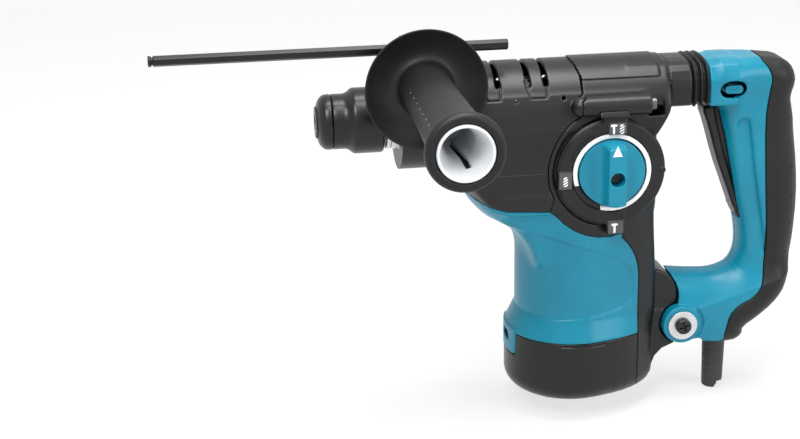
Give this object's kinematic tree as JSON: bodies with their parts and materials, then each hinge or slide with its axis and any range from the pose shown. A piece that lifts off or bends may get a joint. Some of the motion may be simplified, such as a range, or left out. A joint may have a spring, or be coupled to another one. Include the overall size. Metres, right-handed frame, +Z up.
{
  "type": "rotary hammer",
  "caption": "Corded rotary hammer with an upright motor, round keyless chuck, mode knob, sprung rear D-handle, side grip on a clamp and a depth rod.",
  "frame": {"origin": "centre of the tool socket at the front face of the chuck's nose, on the spindle axis", "axes": "+X from the nose to the rear handle along the spindle axis, +Z up away from the motor's base, -Y towards the side with the mode knob and the side grip"},
  "size_m": [0.4292, 0.2275, 0.273],
  "materials": {
    "teal_shell": "satin, fine grain",
    "black_shell": "satin, fine grain",
    "grip_rubber": "matt, soft grip",
    "chuck_shell": "smooth satin",
    "white_plastic": "smooth",
    "bright_steel": "bright, turned",
    "tool_steel": "ground",
    "cast_alloy": "cast",
    "copper": "turned",
    "carbon": "dry carbon"
  },
  "bodies": {
    "housing": {"front_housing": "black_shell", "rear_housing": "black_shell", "motor_housing": "teal_shell", "base_cover": "black_shell", "gear_plate": "cast_alloy", "barrel_collar": "bright_steel", "spindle_bearings": "tool_steel", "oil_seal": "grip_rubber", "mode_bezel": "black_shell", "mode_ring": "white_plastic", "bellows": "grip_rubber", "handle_spring": "tool_steel", "spring_guide": "tool_steel", "pivot_bolt": "tool_steel", "pivot_nut": "tool_steel", "pivot_washers": "bright_steel", "pivot_sleeve": "tool_steel", "housing_screws": "tool_steel", "stator": "tool_steel", "motor_bearings": "tool_steel", "carbon_brushes": "carbon", "brush_holders": "copper", "gear_bearings": "tool_steel"},
    "armature": {"armature": "tool_steel", "commutator": "copper", "fan": "white_plastic"},
    "crank": {"crank_gear": "tool_steel"},
    "intermediate": {"intermediate_gear": "tool_steel"},
    "spindle": {"tool_holder": "tool_steel", "dust_cap": "grip_rubber", "locking_balls": "tool_steel", "chuck_spring": "tool_steel", "bevel_gear": "tool_steel"},
    "chuck_cover": {"chuck_cover": "chuck_shell"},
    "striker": {"striker": "tool_steel"},
    "impact_bolt": {"impact_bolt": "tool_steel"},
    "piston": {"piston": "cast_alloy", "wrist_pin": "tool_steel"},
    "connecting_rod": {"connecting_rod": "cast_alloy"},
    "mode_knob": {"mode_knob": "teal_shell", "mode_knob_screw": "tool_steel", "mode_shaft": "tool_steel"},
    "handle": {"handle_shell_left": "teal_shell", "handle_shell_right": "teal_shell", "grip_cover": "grip_rubber", "switch_body": "black_shell", "trigger_spring": "tool_steel", "lock_button_spring": "tool_steel", "cord_guard": "chuck_shell", "cord_clamp": "chuck_shell", "handle_screws": "tool_steel"},
    "trigger": {"trigger": "chuck_shell"},
    "lock_button": {"lock_button": "teal_shell"},
    "side_handle": {"clamp_base": "black_shell", "clamp_jaw": "black_shell", "side_handle_bolt": "tool_steel"},
    "side_grip": {"side_grip": "grip_rubber", "side_grip_core": "white_plastic"},
    "depth_rod": {"depth_rod": "chuck_shell"}
  },
  "joints": [
    {"name": "armature_spin", "type": "hinge", "parent": "housing", "child": "armature", "pos_m": [0.168, 0, -0.1], "axis": [0, 0, 1], "continuous": true},
    {"name": "crank_spin", "type": "hinge", "parent": "housing", "child": "crank", "pos_m": [0.1915, 0, -0.04], "axis": [0, 0, 1], "continuous": true},
    {"name": "intermediate_spin", "type": "hinge", "parent": "housing", "child": "intermediate", "pos_m": [0.1475, 0, -0.04], "axis": [0, 0, 1], "continuous": true},
    {"name": "spindle_spin", "type": "hinge", "parent": "housing", "child": "spindle", "pos_m": [0.08, 0, 0], "axis": [1, 0, 0], "continuous": true},
    {"name": "chuck_cover_slide", "type": "slide", "parent": "spindle", "child": "chuck_cover", "axis": [1, 0, 0], "range_m": [0, 0.008], "stiffness_N_per_m": 1500, "springref_m": -0.004, "deforming": ["chuck_spring"]},
    {"name": "striker_slide", "type": "slide", "parent": "spindle", "child": "striker", "axis": [1, 0, 0], "range_m": [-0.0005, 0.016]},
    {"name": "impact_bolt_slide", "type": "slide", "parent": "spindle", "child": "impact_bolt", "axis": [1, 0, 0], "range_m": [-0.0035, 0]},
    {"name": "piston_slide", "type": "slide", "parent": "housing", "child": "piston", "axis": [1, 0, 0], "range_m": [0, 0.02]},
    {"name": "connecting_rod_swing", "type": "hinge", "parent": "piston", "child": "connecting_rod", "pos_m": [0.1495, 0, 0], "axis": [0, 0, 1], "range_deg": [-18, 18]},
    {"name": "mode_knob_turn", "type": "hinge", "parent": "housing", "child": "mode_knob", "pos_m": [0.1866, -0.045, -0.0322], "axis": [0, 1, 0], "range_deg": [-90, 180]},
    {"name": "handle_pivot", "type": "hinge", "parent": "housing", "child": "handle", "pos_m": [0.2437, 0, -0.1504], "axis": [0, 1, 0], "range_deg": [-1.2, 0], "stiffness_Nm_per_rad": 200, "springref_deg": 1.72, "deforming": ["bellows", "handle_spring"]},
    {"name": "trigger_pull", "type": "hinge", "parent": "handle", "child": "trigger", "pos_m": [0.2836, 0, -0.0725], "axis": [0, 1, 0], "range_deg": [0, 7], "stiffness_Nm_per_rad": 2.5, "springref_deg": -5.73, "deforming": ["trigger_spring"]},
    {"name": "lock_button_push", "type": "slide", "parent": "handle", "child": "lock_button", "axis": [0, 1, 0], "range_m": [0, 0.003], "stiffness_N_per_m": 800, "springref_m": -0.002, "deforming": ["lock_button_spring"]},
    {"name": "side_handle_swivel", "type": "hinge", "parent": "housing", "child": "side_handle", "pos_m": [0.0672, 0, 0], "axis": [1, 0, 0], "range_deg": [-120, 5]},
    {"name": "side_grip_turn", "type": "hinge", "parent": "side_handle", "child": "side_grip", "pos_m": [0.0672, -0.1, 0.028], "axis": [0, 1, 0], "range_deg": [0, 360]},
    {"name": "depth_rod_slide", "type": "slide", "parent": "side_handle", "child": "depth_rod", "axis": [1, 0, 0], "range_m": [-0.038, 0.15]}
  ],
  "couplings": [
    {"joint": "crank_spin", "follows": "armature_spin", "ratio": -0.30556},
    {"joint": "intermediate_spin", "follows": "armature_spin", "ratio": -0.36667},
    {"joint": "spindle_spin", "follows": "armature_spin", "ratio": 0.12222}
  ]
}
